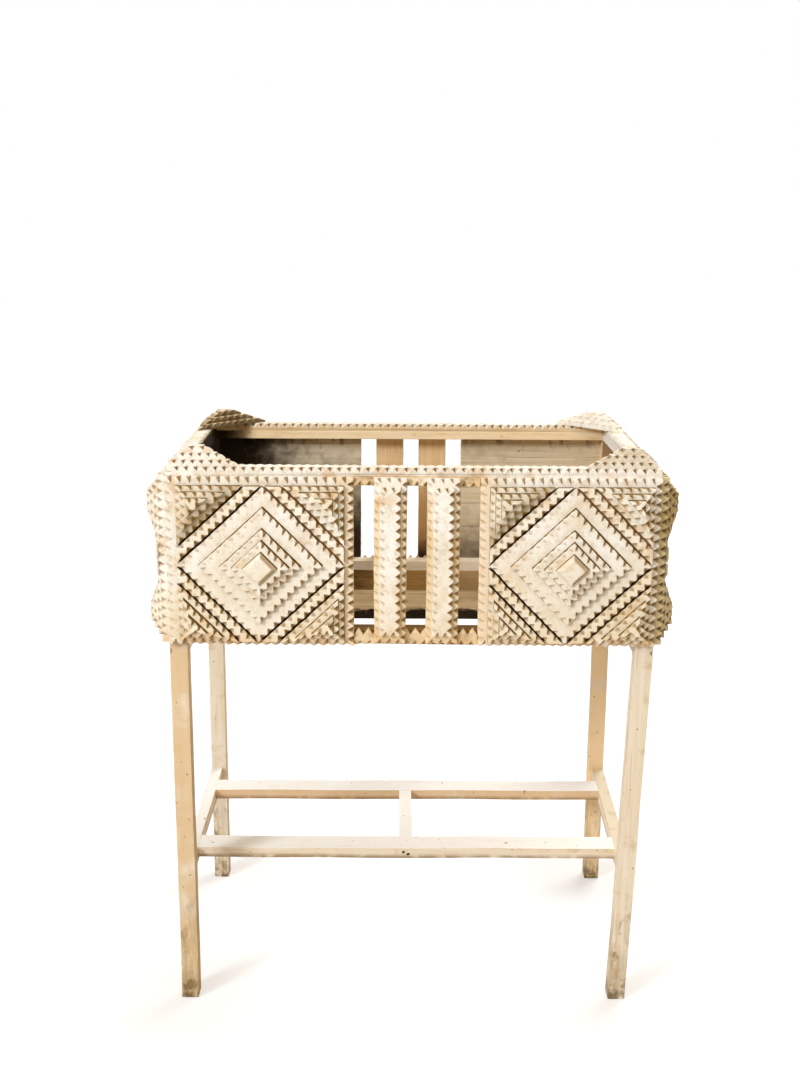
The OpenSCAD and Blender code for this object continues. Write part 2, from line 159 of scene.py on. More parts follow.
# %% Masks and coats
MATT = 0.2   # old paint and bare wood reflect far less than a gloss paint
GLOSS_MM = 9   # size of the patches in which the gloss changes
NOISE_SPAN = (0.3, 0.7)   # nearly all values of a noise lie in this span
BUMP_STRENGTH = 0.6


def new_finish(name):
    """An empty material, and the Object coordinates that its patterns are placed by."""
    material = bpy.data.materials.new(name)
    material.use_nodes = True
    material.node_tree.nodes.clear()
    return material, add(material.node_tree, "TexCoord").outputs["Object"]


def soft_mask(measure, low, high, *others):
    """Sets in as a measure goes from low to high, either way, and only where the other masks are 1."""
    mask = add(measure, "MapRange", {"Value": measure, "From Min": low, "From Max": high},
               interpolation_type="SMOOTHSTEP").outputs[0]
    for other in others:
        mask = add(mask, "Math", {0: mask, 1: other}, operation="MULTIPLY", use_clamp=True).outputs[0]
    return mask


def patches(place, size_mm, low, high, detail=3.0, roughness=0.55):
    """A mask of patches about size_mm wide: 0 under the noise value low, 1 over high."""
    grain = add(place, "TexNoise", {"Vector": place, "Scale": 1 / (size_mm * MM), "Detail": detail,
                                    "Roughness": roughness})
    return soft_mask(grain.outputs[0], low, high)


def laid(ground, coats):
    """The colour of a ground with coats laid over it. A coat's tone is a hex value or another colour."""
    tint = colour(ground)
    for mask, tone, strength in coats:
        tone = colour(tone) if isinstance(tone, str) else tone
        share = add(mask, "Math", {0: mask, 1: strength}, operation="MULTIPLY").outputs[0]
        tint = add(mask, "Mix", {0: share, 6: tint, 7: tone}, data_type="RGBA").outputs[2]
    return tint


def dressed(place, tint, rough, bump_mm, bump_size_mm, gloss=MATT, metal=0.0):
    """Ends a recipe: its colour, an uneven gloss and a fine raised grain go into one shader."""
    uneven = add(place, "TexNoise", {"Vector": place, "Scale": 1 / (GLOSS_MM * MM), "Detail": 3.0})
    dull = add(place, "MapRange", {"Value": uneven.outputs[0], "From Min": NOISE_SPAN[0],
                                   "From Max": NOISE_SPAN[1], "To Min": rough[0], "To Max": rough[1]})
    fine = add(place, "TexNoise", {"Vector": place, "Scale": 1 / (bump_size_mm * MM), "Detail": 4.0})
    bump = add(place, "Bump", {"Height": fine.outputs[0], "Distance": bump_mm * MM,
                               "Strength": BUMP_STRENGTH})
    shader = add(place, "BsdfPrincipled", {
        "Base Color": tint, "Roughness": dull.outputs[0], "Normal": bump.outputs[0], "IOR": 1.5,
        "Specular IOR Level": gloss, "Metallic": metal})
    add(place, "OutputMaterial", {"Surface": shader.outputs[0]})


print("gloss changes in patches of", GLOSS_MM, "mm")

# %% [markdown]
# ## The floor
# The floor is a big sheet of white paper. A lit sheet is never quite white, so the camera sees part of
# it as plain white light, more of it farther from a foot, and the rest as paper that catches shadows.
# The feet stand in the corners of a rectangle, so folding the coordinates along both middle lines
# leaves one foot to measure from.

# %% Floor
FLOOR_HALF = 14.0
FLOOR_GLOW = 0.42   # share of the floor that the camera sees as plain white at a foot
FLOOR_SHADE = 0.85   # the same share far from the feet, where a trace of shadow stays
FLOOR_NEAR, FLOOR_FAR = 0.03, 0.24   # metres from a foot over which the shadows fade out
PAPER_WHITE = 1.18
leg_low, leg_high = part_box("leg_rear_right")
foot = ((leg_low[0] + leg_high[0]) / 2, (leg_low[1] + leg_high[1]) / 2, 0.0)

bm = bmesh.new()
bmesh.ops.create_grid(bm, x_segments=1, y_segments=1, size=FLOOR_HALF)
floor_mesh = bpy.data.meshes.new("studio_floor")
bm.to_mesh(floor_mesh)
bm.free()
floor = bpy.data.objects.new("studio_floor", floor_mesh)
scene.collection.objects.link(floor)

paper, place = new_finish("white_paper")
path = add(place, "LightPath")
matt = add(place, "BsdfDiffuse", {"Color": colour("FEFEFE")})
glow = add(place, "Emission", {"Color": (1, 1, 1, 1), "Strength": PAPER_WHITE})
folded = add(place, "VectorMath", {0: place}, operation="ABSOLUTE")
away = add(place, "VectorMath", {0: folded.outputs[0], 1: foot}, operation="DISTANCE")
fade = add(place, "MapRange", {"Value": away.outputs["Value"], "From Min": FLOOR_NEAR,
                               "From Max": FLOOR_FAR, "To Min": FLOOR_GLOW, "To Max": FLOOR_SHADE},
           interpolation_type="SMOOTHSTEP")
share = add(place, "Math", {0: path.outputs["Is Camera Ray"], 1: fade.outputs[0]}, operation="MULTIPLY")
sheet = add(place, "MixShader", {0: share.outputs[0], 1: matt.outputs[0], 2: glow.outputs[0]})
add(place, "OutputMaterial", {"Surface": sheet.outputs[0]})
floor.data.materials.append(paper)
print("floor of", 2 * FLOOR_HALF, "m, a foot at", [round(c, 3) for c in foot])

# %% [markdown]
# ## Places on the box
# Stains follow the box: yellow low down, white under the rim, tan beside the open bay. Their places are
# measured from the edges of the front left board, so they stay right if the box changes size.

# %% Places on the box
board_low, board_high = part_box("board_front_left")
box_low, box_high, bay_edge = board_low[2], board_high[2], -board_high[0]


def up(mm):
    """A height in metres, measured up from the lower edge of the boards."""
    return box_low + mm * MM


YELLOWED = (up(155.5), up(35.5))   # the lower half of the box has gone yellower
DAMP_EDGE = (up(35.5), up(-2.5))   # tan where damp rose from the lower edge
FRESH = (box_high - 32.5 * MM, box_high - 18.5 * MM)   # the slats' upper ends are still white
BAY_WORN = (bay_edge + 34.5 * MM, bay_edge + 18.5 * MM)   # off the middle, where hands reached in
print("boards from %.4f to %.4f m, bay edge at %.4f m" % (box_low, box_high, bay_edge))

# %% [markdown]
# ## Finish 1: old oil paint on carved softwood
# Two or three coats of off-white oil paint, brushed on over the carving. It has gone cream in places,
# yellower towards the lower edge, and orange-tan where damp got in. Dirt sits in every notch. It is laid
# on most thickly on the facets and edges that turn from the window, so that there it is painted shade as
# well as dirt. Noise can't know where a notch is, so each carved mesh carries marks that this recipe
# reads. They are made further down, with the carving.

# %% Tones and patterns of the carved paint
PAINT_WHITE, PAINT_CREAM, PAINT_TAN = "F9F6F0", "F0E8D9", "DDB788"
YELLOW, BAY_TAN, BROWN_STAIN = "EAD6AE", "F0D9B8", "7E5426"
MOTTLE, SPECK = "C8B48E", "5A4124"   # dirt in the brush marks, and small dark specks
# Grime, valley and nook dirt are laid most on what turns from the window: painted shade as well as dirt.
# Root dark is painted shade along the glue lines.
NOTCH_GRIME_AND_SHADE, VALLEY_DIRT_AND_SHADE, NOOK_DIRT_AND_SHADE, ROOT_DARK = "9E782E", "553B12", "94793F", "24180C"

BLOTCHES, STAINS, DAMP_STAINS = (70, 0.38, 0.64), (26, 0.52, 0.7, 5.0), (26, 0.34, 0.6, 4.0)
BRUSH_DIRT, BROWN_STAINS = (9, 0.46, 0.66, 8.0, 0.75), (17, 0.48, 0.64, 4.0)
SOILED, SPECKS = (17, 0.36, 0.66), (7, 0.7, 0.78, 4.0)
PAINT_ROUGH, BRUSH_MM = (0.5, 0.78), 1.6   # brush marks are drawn coarse, so that they show

MARKS = ("facet", "wall", "valley", "apex", "cut", "root", "nook")
CUT_DIRT, VALLEY_LINE, APEX_DIRT = (0.0, 0.15), (0.45, 0.95), (0.05, 0.7)   # where a mark's dirt sets in
NOOK_REACH, ROOT_LINE = (0.0, 0.8), (0.0, 0.75)
FROM_WINDOW = (0.88, 0.0, -0.15)   # facets that look this way turn from the window; their dirt is partly painted shade
FROM_WINDOW_END = (0.0, 0.88, -0.15)   # the same for the two ends
TURN_SPAN, SHADED_WALL = (-0.2, 0.5), (0.25, 0.6)   # how far a face has to look that way
LEAST_SOIL = 0.82   # the cleaner notches hold this share of the others' dirt
LEFT_IN_VALLEY, LEFT_AT_APEX = 0.15, 0.5   # shares of the dirt that stay on facets that face the window
print("marks read by the paint:", MARKS)

# %% Carved paint
def notch_dirt_and_shade(place, soil, lit_share, from_window, grime_and_shade):
    """The coats of dirt and painted shade on the carving: in notches and nooks, most where they
    turn from the window, on shaded edges, and along glue lines.
    """
    mark = {key: add(place, "Attribute", attribute_name=key).outputs["Fac"] for key in MARKS}
    uneven = add(place, "MapRange", {"Value": patches(place, *SOILED), "To Min": LEAST_SOIL * soil,
                                     "To Max": soil}).outputs[0]
    looks = add(place, "NewGeometry").outputs["True Normal"]
    looks = add(place, "VectorMath", {0: looks, 1: from_window}, operation="DOT_PRODUCT").outputs["Value"]
    kept_and_shaded = add(place, "MapRange", {"Value": looks, "From Min": TURN_SPAN[0], "From Max": TURN_SPAN[1],
                                   "To Min": lit_share}, interpolation_type="SMOOTHSTEP").outputs[0]
    in_valley, at_apex = (add(place, "MapRange", {"Value": kept_and_shaded, "To Min": least}).outputs[0]
                          for least in (LEFT_IN_VALLEY, LEFT_AT_APEX))
    facet, smooth = mark["facet"], soft_mask(mark["facet"], 1.0, 0.0)
    return [
        (soft_mask(mark["cut"], *CUT_DIRT, facet, kept_and_shaded, uneven), grime_and_shade, 1.0),
        (soft_mask(mark["valley"], *VALLEY_LINE, facet, in_valley, uneven), VALLEY_DIRT_AND_SHADE, 0.6),
        (soft_mask(mark["apex"], *APEX_DIRT, facet, at_apex, uneven), grime_and_shade, 0.85),
        (soft_mask(looks, *SHADED_WALL, mark["wall"], uneven), grime_and_shade, 0.85),
        (soft_mask(mark["nook"], *NOOK_REACH, uneven), NOOK_DIRT_AND_SHADE, 0.6),
        (soft_mask(mark["root"], *ROOT_LINE, smooth), ROOT_DARK, 1.0),
    ]


def carved_paint(name, stain, soil=1.0, lit_share=0.1, base=(PAINT_WHITE, PAINT_CREAM), brown=0.0, bay=0.0,
                 from_window=FROM_WINDOW, grime_and_shade=NOTCH_GRIME_AND_SHADE, fresh_top=0.0):
    """Yellowed off-white paint over a base of two tones, with stains, and dirt in the notches that is laid
    most on facets turned from the window, as painted shade. Stain is the share of tan stains, soil that
    of the dirt in the notches, the third argument what of it stays on facets that face the window, brown
    the share of damp stains, bay that of the worn tan beside the open bays, and fresh_top that of clean
    paint at a slat's upper end."""
    material, place = new_finish(name)
    across, _, height = add(place, "SeparateXYZ", {0: place}).outputs
    coats = [
        (patches(place, *BLOTCHES), base[1], 1.0),
        (patches(place, *STAINS), PAINT_TAN, stain),
        (patches(place, *BRUSH_DIRT), MOTTLE, 0.45),
        (soft_mask(height, *YELLOWED), YELLOW, 0.3),
        (soft_mask(height, *DAMP_EDGE, patches(place, *DAMP_STAINS)), PAINT_TAN, 0.75),
    ]
    if bay:
        off_middle = add(place, "Math", {0: across}, operation="ABSOLUTE").outputs[0]
        coats.append((soft_mask(off_middle, *BAY_WORN), BAY_TAN, bay))
    if fresh_top:
        coats.append((soft_mask(height, *FRESH), PAINT_WHITE, fresh_top))
    if brown:
        coats.append((patches(place, *BROWN_STAINS), BROWN_STAIN, brown))
    coats += notch_dirt_and_shade(place, soil, lit_share, from_window, grime_and_shade)
    coats.append((patches(place, *SPECKS), SPECK, 0.8))
    dressed(place, laid(base[0], coats), PAINT_ROUGH, 0.35, BRUSH_MM)
    return material


print("carved paint: patches from", SPECKS[0], "to", BLOTCHES[0], "mm")

# %% [markdown]
# The paint has aged differently on each part of the box. The right end and the rear left corner of the
# rim turn from the window and are painted olive and dark as painted shade, the rear right corner is
# whiter, the slats and the low strips have yellowed most, and the diamonds, which stand out and get
# wiped, least.

# %% Paints of the carved pieces
PAINTS = {
    "carved": dict(stain=0.45, soil=0.8),
    "rim": dict(stain=0.55, base=("F8F5EE", "EEE7D9"), grime_and_shade="785818"),
    "board": dict(stain=0.7, soil=0.7, bay=0.7),
    "slat": dict(stain=0.7, soil=0.8, base=("EEDFC5", "E4CAA2"), fresh_top=0.8),
    "corner": dict(stain=0.7, lit_share=0.35, base=("F8F4E8", "EFE4CF")),
    "low_strip": dict(stain=0.8, soil=0.8, base=("EAD7B8", "DCBF96"), brown=0.35),
    "rear_left": dict(stain=0.6, lit_share=0.7, base=("E4D5B4", "CDB78C"), brown=0.4, grime_and_shade="54401E"),
    "front_right": dict(stain=0.5, lit_share=0.4, base=("F3ECDF", "E5DBC8"), grime_and_shade="685018"),
    "rear_right": dict(stain=0.1, soil=0.65, lit_share=0.05, base=("FBF9F4", "F6F1E6")),
    "slat_strip": dict(stain=0.45),
    "stained": dict(stain=0.9, base=("F2E3C8", "E3C99E"), brown=0.6),
    "left_end": dict(stain=0.6, soil=0.9, lit_share=0.3, from_window=FROM_WINDOW_END, grime_and_shade="98702E"),
    "right_end": dict(stain=0.6, lit_share=0.6, base=("E8D8AE", "CEB67E"), from_window=FROM_WINDOW_END,
                      grime_and_shade="6C5220"),
}
paints = {key: carved_paint("old_paint_" + key, **how) for key, how in PAINTS.items()}
print("carved paints:", len(paints))

# %% [markdown]
# ## Finish 2: bare and washed softwood
# Inside, the boards were never painted. They went grey-beige with age, with dark specks and nail
# stains. The left part of the box is painted black as the shadow of the left end, and the boards go
# darker towards the floor. The rails had one thin wash of paint that lets the tan wood show, and the
# backs of the slats have darkened towards the floor.
# Softwood shows long streaks: noise drawn out along the grain gives them, and finer noise the pores.

# %% Wood recipe
DAMP_AND_SHADE_BLACK, NAIL_STAIN, DUST, SLAT_FOOT_BROWN = "160D06", "3A2A18", "C9B48E", "9A7038"
# Streaks: width and length in mm, then the noise values over which they set in
GRAIN, LATE_WOOD = (9, 260, 0.36, 0.64), (3.2, 120, 0.52, 0.74)
WASH_STREAKS, DIRT_RUNS = (14, 90, 0.34, 0.6), (9, 22, 0.5, 0.66)
AGED_PATCHES, WOOD_SPECKS = (45, 0.5, 0.72), (11, 0.68, 0.76, 4.0)
NAIL_SPOTS = (34, 2.8)   # mm apart and wide
RAGGED_MM = 14   # size of the bays in a ragged front of damp
FOOT_LINE = (0.15, 0.85)   # where the dark foot of painted shade on a joint's edge sets in
WOOD_ROUGH, PORE_MM = (0.7, 0.9), 1.2


def streaks(place, axis, wide_mm, long_mm, low, high):
    """A mask of streaks: noise drawn out along the grain's axis."""
    scale = [1 / (wide_mm * MM)] * 3
    scale["XYZ".index(axis)] = 1 / (long_mm * MM)
    drawn = add(place, "Mapping", {"Vector": place, "Scale": scale}).outputs[0]
    grain = add(place, "TexNoise", {"Vector": drawn, "Scale": 1.0, "Detail": 4.0, "Roughness": 0.6})
    return soft_mask(grain.outputs[0], low, high)


def spots(place, apart_mm, wide_mm):
    """A mask of small round stains, as of old nail heads, about apart_mm apart."""
    cells = add(place, "TexVoronoi", {"Vector": place, "Scale": 1 / (apart_mm * MM)})
    rim = wide_mm / apart_mm
    return soft_mask(cells.outputs["Distance"], rim, 0.4 * rim)


def ragged_mask(place, axis, low, high, ragged=0.3):
    """Sets in as one coordinate goes from low to high, in metres, along a ragged front."""
    along = add(place, "SeparateXYZ", {0: place}).outputs["XYZ".index(axis)]
    moved = add(place, "TexNoise", {"Vector": place, "Scale": 1 / (RAGGED_MM * MM), "Detail": 4.0})
    moved = add(place, "MapRange", {"Value": moved.outputs[0], "To Min": -ragged, "To Max": ragged})
    moved = add(place, "Math", {0: moved.outputs[0], 1: high - low, 2: along}, operation="MULTIPLY_ADD")
    return soft_mask(moved.outputs[0], low, high)


def bare_wood(name, pale, middle, dark, axis, specks=0.7, wash=None, damp_and_shade=(), rooted=False, drip=None,
              veil=None):
    """Unpainted softwood in three tones, with specks and a thin worn wash of paint if one is given.
    A list of (axis, from, to) gives where the wood goes black: damp at the floor's ragged edge, painted
    shadow in the left part of the box, and darker towards the floor elsewhere. Drip gives the heights
    between which dirt has run down, veil a (tone, strength, axis, from, to) where the colour changes:
    dust on the floor, and browner low on the slat backs. A rooted edge has a dark foot of painted shade
    along the glue line."""
    material, place = new_finish(name)
    gloss = MATT
    coats = [
        (streaks(place, axis, *GRAIN), middle, 1.0),
        (streaks(place, axis, *LATE_WOOD), dark, 0.6),
        (patches(place, *AGED_PATCHES), dark, 0.35),
    ]
    if wash:
        coats.append((streaks(place, axis, *WASH_STREAKS), wash, 0.7))
    coats.append((patches(place, *WOOD_SPECKS), SPECK, specks))
    coats.append((spots(place, *NAIL_SPOTS), NAIL_STAIN, specks))
    if drip:
        height = add(place, "SeparateXYZ", {0: place}).outputs[2]
        coats.append((soft_mask(height, *drip, streaks(place, "Z", *DIRT_RUNS)), NAIL_STAIN, 0.6))
    if veil:
        tone, strength, *reach = veil
        coats.append((ragged_mask(place, *reach), tone, strength))
    for dark_reach in damp_and_shade:
        soaked_and_shaded = ragged_mask(place, *dark_reach)
        coats.append((soaked_and_shaded, DAMP_AND_SHADE_BLACK, 0.96))
        gloss = add(place, "MapRange", {"Value": soaked_and_shaded, "To Min": MATT, "To Max": 0.0}).outputs[0]
    if rooted:
        root = add(place, "Attribute", attribute_name="root").outputs["Fac"]
        coats.append((soft_mask(root, *FOOT_LINE), ROOT_DARK, 1.0))
    dressed(place, laid(pale, coats), WOOD_ROUGH, 0.3, PORE_MM, gloss)
    return material


print("wood recipe: streaks", LATE_WOOD[0], "to", WASH_STREAKS[0], "mm wide")

# %% [markdown]
# Each rail, board and edge gets its own tones. The black is given one by one: darker towards the
# floor on the boards and slats, painted shadow over the whole left end and the left part of the box,
# and damp on the ragged front edge of the floor.

# %% Woods
LEFT_HALF = ("X", 0.1, -0.1)   # painted shadow that takes in all that lies on the left
DRIPS = (box_high - 40.5 * MM, box_high - 14.5 * MM)
GREY_BOARD = ("E2D4BA", "D4C3A4", "96815E")
floor_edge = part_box("floor_board_middle")[0][1]
rail_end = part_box("top_rail_rear")[0][0]

# Black at the left, on the boards, the end, the rails and the floor, is painted shadow of the left end;
# black low down on Z makes the wood darker towards the floor.
inside_grey = bare_wood("weathered_softwood_inside", *GREY_BOARD, "X", 0.9,
                        damp_and_shade=[("Z", up(135.5), up(-34.5))], drip=DRIPS)
inside_left = bare_wood("damp_softwood_inside", *GREY_BOARD, "X", 0.9,
                        damp_and_shade=[("Z", up(235.5), up(55.5)), ("X", -0.125, -0.275)], drip=DRIPS)
inside_end = bare_wood("weathered_softwood_end", "C9AE82", "B3976C", "7D6240", "Y", damp_and_shade=[LEFT_HALF])
slat_back = bare_wood("tan_softwood_slat", "F4D6A6", "EAC694", "C89C66", "Z", 0.4,
                      damp_and_shade=[("Z", up(75.5), up(10.5))], veil=(SLAT_FOOT_BROWN, 0.8, "Z", up(195.5), up(105.5)))
rail_tan = bare_wood("washed_softwood_rail", "EFD2A4", "E6C28E", "CC9F66", "X", 0.3, "F4DDB7")
rail_pale = bare_wood("washed_softwood_end_rail", "F8F4EE", "F3EDE2", "D4C6AE", "Y", 0.3, "FBF9F5",
                      damp_and_shade=[LEFT_HALF])
rail_rear = bare_wood("washed_softwood_rear_rail", "F4DAB0", "ECCB9A", "D4A970", "X", 0.3, "F9E5C5",
                      damp_and_shade=[("X", rail_end + 71.5 * MM, rail_end + 11.5 * MM)])
rail_plain = bare_wood("washed_softwood_low_rail", "F0E2C8", "E6D2AE", "C9A878", "Y", 0.3, "F4EAD8")
# The low rear rail is lightened well past its wood's tone: painted light where the box shades it.
rail_lightened = bare_wood("greyed_softwood_rail", "FFFCF2", "FDF3E0", "DCC6A2", "X", 0.5)
# The low front rail is painted dark brown as the shade inside the box.
low_brown = bare_wood("dark_softwood_low_rail", "8A6834", "725224", "4A3412", "X", 0.6)
floor_brown = bare_wood("brown_softwood_floor", "A0783F", "8C662F", "5E431D", "X", 0.7,
                        damp_and_shade=[("X", 0.0, -0.15)], veil=(DUST, 0.45, "X", 0.03, 0.11))
floor_grey = bare_wood("grey_softwood_floor", "DCC8A4", "C6AE86", "7C6240", "X", 0.9,
                       damp_and_shade=[("Y", floor_edge + 20.8 * MM, floor_edge + 4.8 * MM, 1.4)])
# The layer edges carry dirt and painted shade. The joints are painted dark as their shade, the brown joint
# edge has a dark foot of painted shade, and the dusty joint is a lighter copy, painted light.
layer_wall = bare_wood("unwashed_layer_edge", "8C6C2C", "7A5C22", "4E3A14", "Z", 0.3)
joint_wall = bare_wood("brown_joint_edge", "A07C4A", "8A6634", "5C401C", "Z", 0.3, rooted=True)
joint_lit = bare_wood("dusty_joint", "B08A54", "9A7440", "6A4A22", "Z", 0.3)
joint_dark = bare_wood("unpainted_joint", "46301A", "341F0E", "1C1108", "Z", 0.2)
print("materials so far:", len(bpy.data.materials))

# %% [markdown]
# ## Finish 3: the painted stand
# The legs and stretchers were planed by hand and painted once. The faces that look up are white,
# partly as a painted highlight from above, the upright faces have worn to a tan cream with streaks of
# bare wood and are darker as painted shade where they look right, and the feet are scuffed and dirty
# from the floor. Where the legs pass inside the box they are painted black at the left and tan at the
# right, as painted shade.

# %% Tones and patterns of the stand
STAND_CREAM, STAND_BEIGE, STAND_STREAK, STAND_STAIN = "EEE2D0", "E5D5BC", "CBA97E", "C89F6C"
STAND_BARE, TOP_PAINT_LIT, TOP_STREAK = "E0C298", ("FFFFFE", "FDFAF2"), "DCC9A6"
FOOT_DIRT, SCUFF, FOOT_ROT, HEM_DARK = "A2895F", "77602F", "5B4527", "80602F"
RIGHT_SHADE_TAN, INNER_SHADE_TAN = "A58450", "8F7048"   # painted shade on faces that look right, and inside the box

PLANED_GRAIN, PLANED_STREAKS = (10, 240, 0.36, 0.64), (3.2, 120, 0.54, 0.74)
TOP_STREAKS, FOOT_RUNS, SCUFFS = (8, 160, 0.54, 0.74), (9, 45, 0.3, 0.62), (14, 30, 0.54, 0.68)
STAND_STAINS, WORN_PATCHES, TOP_BLOTCHES = (26, 0.54, 0.72, 5.0), (60, 0.2, 0.5), (40, 0.55, 0.75)
FOOT_ROTTEN, TURNED_PATCHES = (9, 0.36, 0.58, 5.0), (30, 0.1, 0.5)
HEM_PATCHES, STAND_SPECKS, STAND_SPOTS = (20, 0.2, 0.55, 5.0), (9, 0.68, 0.74, 4.0), (24, 1.9)
STAND_ROUGH, PLANE_MARK_MM = (0.5, 0.75), 1.4

FOOT_DIRTY, SCUFFED, FOOT_WET = (0.24, 0.02), (0.2, 0.08), (0.05, 0.0)   # heights over the floor
IN_BOX, LEFT_PART, RIGHT_PART = (up(-14.5), up(25.5)), (-0.2, -0.3), (0.2, 0.3)
LOOKS_UP, LOOKS_RIGHT, INWARD = (0.3, 0.8), (0.45, 0.8), (0.6, 0.8)   # how squarely a face looks there
print("floor dirt reaches up", FOOT_DIRTY[0], "m")

# %% Stand paint
def inside_shade(across, height, look_right, look_back):
    """The painted shade on faces of the legs that look into the box: black at the left, tan at the right.
    """
    to_right = soft_mask(look_right, *INWARD)
    to_front = soft_mask(look_back, -INWARD[0], -INWARD[1])
    inward = add(across, "Math", {0: to_right, 1: to_front}, operation="MAXIMUM").outputs[0]
    in_box = soft_mask(height, *IN_BOX, inward)
    return [(soft_mask(across, *LEFT_PART, in_box), DAMP_AND_SHADE_BLACK, 0.9),
            (soft_mask(across, *RIGHT_PART, in_box, to_front), INNER_SHADE_TAN, 0.85)]


def stand_paint(name, axis, worn=0.0, bare=STAND_BARE, hem=None, top=TOP_PAINT_LIT):
    """Thin worn paint over planed softwood, whitest on the faces that look up, where the white is partly
    a painted highlight, dirty near the floor. Worn is the share of the paint that has gone to wood of the
    colour bare, hem the heights between which the paint goes darker over the lower edge, and top the two
    tones of the faces that look up."""
    material, place = new_finish(name)
    across, _, height = add(place, "SeparateXYZ", {0: place}).outputs
    normal = add(place, "NewGeometry").outputs["True Normal"]
    look_right, look_back, look_up = add(place, "SeparateXYZ", {0: normal}).outputs
    lit_top = soft_mask(look_up, *LOOKS_UP)
    white = laid(top[0], [(patches(place, *TOP_BLOTCHES), top[1], 1.0),
                          (streaks(place, axis, *TOP_STREAKS), TOP_STREAK, 0.2)])
    coats = [
        (streaks(place, axis, *PLANED_GRAIN), STAND_BEIGE, 1.0),
        (streaks(place, axis, *PLANED_STREAKS), STAND_STREAK, 0.5),
        (patches(place, *STAND_STAINS), STAND_STAIN, 0.5),
        (patches(place, *WORN_PATCHES), bare, worn),
        (lit_top, white, 1.0),
        (soft_mask(height, *FOOT_DIRTY, streaks(place, "Z", *FOOT_RUNS)), FOOT_DIRT, 0.6),
        (soft_mask(height, *SCUFFED, streaks(place, "Z", *SCUFFS)), SCUFF, 0.7),
        (soft_mask(height, *FOOT_WET, patches(place, *FOOT_ROTTEN)), FOOT_ROT, 0.8),
        (patches(place, *STAND_SPECKS), SPECK, 0.85),
        (spots(place, *STAND_SPOTS), SPECK, 0.6),
        (soft_mask(look_right, *LOOKS_RIGHT, patches(place, *TURNED_PATCHES)), RIGHT_SHADE_TAN, 0.6),
    ]
    if hem:
        upright = soft_mask(lit_top, 0.5, 0.0)
        darker = soft_mask(height, *hem, patches(place, *HEM_PATCHES), upright)
        coats.append((darker, HEM_DARK, 0.8))
    coats += inside_shade(across, height, look_right, look_back)
    dressed(place, laid(STAND_CREAM, coats), STAND_ROUGH, 0.3, PLANE_MARK_MM)
    return material


HEM = 9 * MM
hems = {axis: (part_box(node)[0][2] + HEM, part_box(node)[0][2])
        for axis, node in (("X", "long_stretcher_front"), ("Y", "side_stretcher_left"))}
stand_finish = {axis: stand_paint("old_paint_stand_" + axis.lower(), axis, hem=hems.get(axis))
                for axis in "XYZ"}
worn_finish = {
    "leg_front_left": stand_paint("worn_paint_left_leg", "Z", 0.85, "DDBE92"),
    "leg_rear_right": stand_paint("worn_paint_rear_right_leg", "Z", 0.8, "F9D7A6"),
    "side_stretcher_right": stand_paint("dull_paint_right_stretcher", "Y", hem=hems["Y"],
                                        top=("EBDFC6", "DACBA9")),
    "long_stretcher_rear": stand_paint("worn_paint_rear_stretcher", "X", 0.8, "DFBB90", hems["X"]),
}
print("stand paints:", len(stand_finish) + len(worn_finish))

# %% [markdown]
# ## Finish 4: rusty wire nails
# Four old nails hold the cross stretcher. Their heads are brown iron oxide, rough and uneven, with
# little of the metal left to shine.

# %% Nail iron
RUST_DARK, RUST_BROWN, RUST_PATCHES = "3A2413", "6E4422", (1.5, 0.4, 0.6)
RUST_ROUGH, RUST_GRIT_MM, BARE_METAL = (0.6, 0.85), 0.8, 0.35
nail_iron, place = new_finish("rusted_iron_nail")
rust = laid(RUST_DARK, [(patches(place, *RUST_PATCHES), RUST_BROWN, 1.0)])
dressed(place, rust, RUST_ROUGH, 0.2, RUST_GRIT_MM, metal=BARE_METAL)
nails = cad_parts["stretcher_nails"]
nails.data.materials.clear()
nails.data.materials.append(nail_iron)
print("nails:", nail_iron.name)

# %% [markdown]
# ## Hand-cut copies of the carving
# Each notch of the real planter was cut by eye with a knife, so no two are quite alike, and several
# coats of paint have rounded every edge. Each carved node is therefore replaced by a copy of its mesh:
# merged, its edges rounded, and its points moved by a millimetre or two along a smooth random field.
# All pieces share the field, so what touches still touches, and points move only along the face of a
# layer, so flat faces stay flat.

# %% Helpers for hand-cut copies
MERGE = 0.02 * MM
FLAT_ANGLE, SHARP = math.radians(0.5), math.radians(20)
EDGE_ROUND = 0.55 * MM
WOBBLE_MM, WOBBLE_WAVE_MM = 1.0, 17
DRIFT_MM, DRIFT_WAVE_MM, DRIFT_SHIFT = 0.9, 90, Vector((7, 3, 5))
FIELD_SEED = 7
noise.seed_set(FIELD_SEED)   # else the random field would differ from run to run

AXES = [Vector(row) for row in Matrix.Identity(3)]
OUTWARD = {"end_left": (-1, 0, 0), "end_right": (1, 0, 0), "front": (0, -1, 0), "rear": (0, 1, 0)}


def outward_of(node):
    """The direction in which a carved node's face looks."""
    if node.startswith("rim"):
        return Vector((0, 0, 1))
    return next(Vector(way) for key, way in OUTWARD.items() if key in node)


def box_of(node):
    """The two corners of a node's box and its middle."""
    low, high = (Vector(corner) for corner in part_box(node))
    return low, high, (low + high) / 2


def merged(node):
    """A bmesh of a CAD node with its corners joined and its flat faces whole again."""
    bm = bmesh.new()
    bm.from_mesh(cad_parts[node].data)
    bmesh.ops.remove_doubles(bm, verts=bm.verts, dist=MERGE)
    bmesh.ops.dissolve_limit(bm, angle_limit=FLAT_ANGLE, verts=bm.verts, edges=bm.edges)
    for face in bm.faces:
        face.smooth = False
    return bm


def span(points, way):
    """The least and the greatest reach of points along a direction."""
    reach = [v.co.dot(way) for v in points]
    return min(reach), max(reach)


def split_at(bm, way, reach):
    """Splits the faces of a mesh where they cross a plane, without taking anything away."""
    bmesh.ops.bisect_plane(bm, geom=bm.verts[:] + bm.edges[:] + bm.faces[:], dist=MERGE,
                           plane_co=way * reach, plane_no=way)


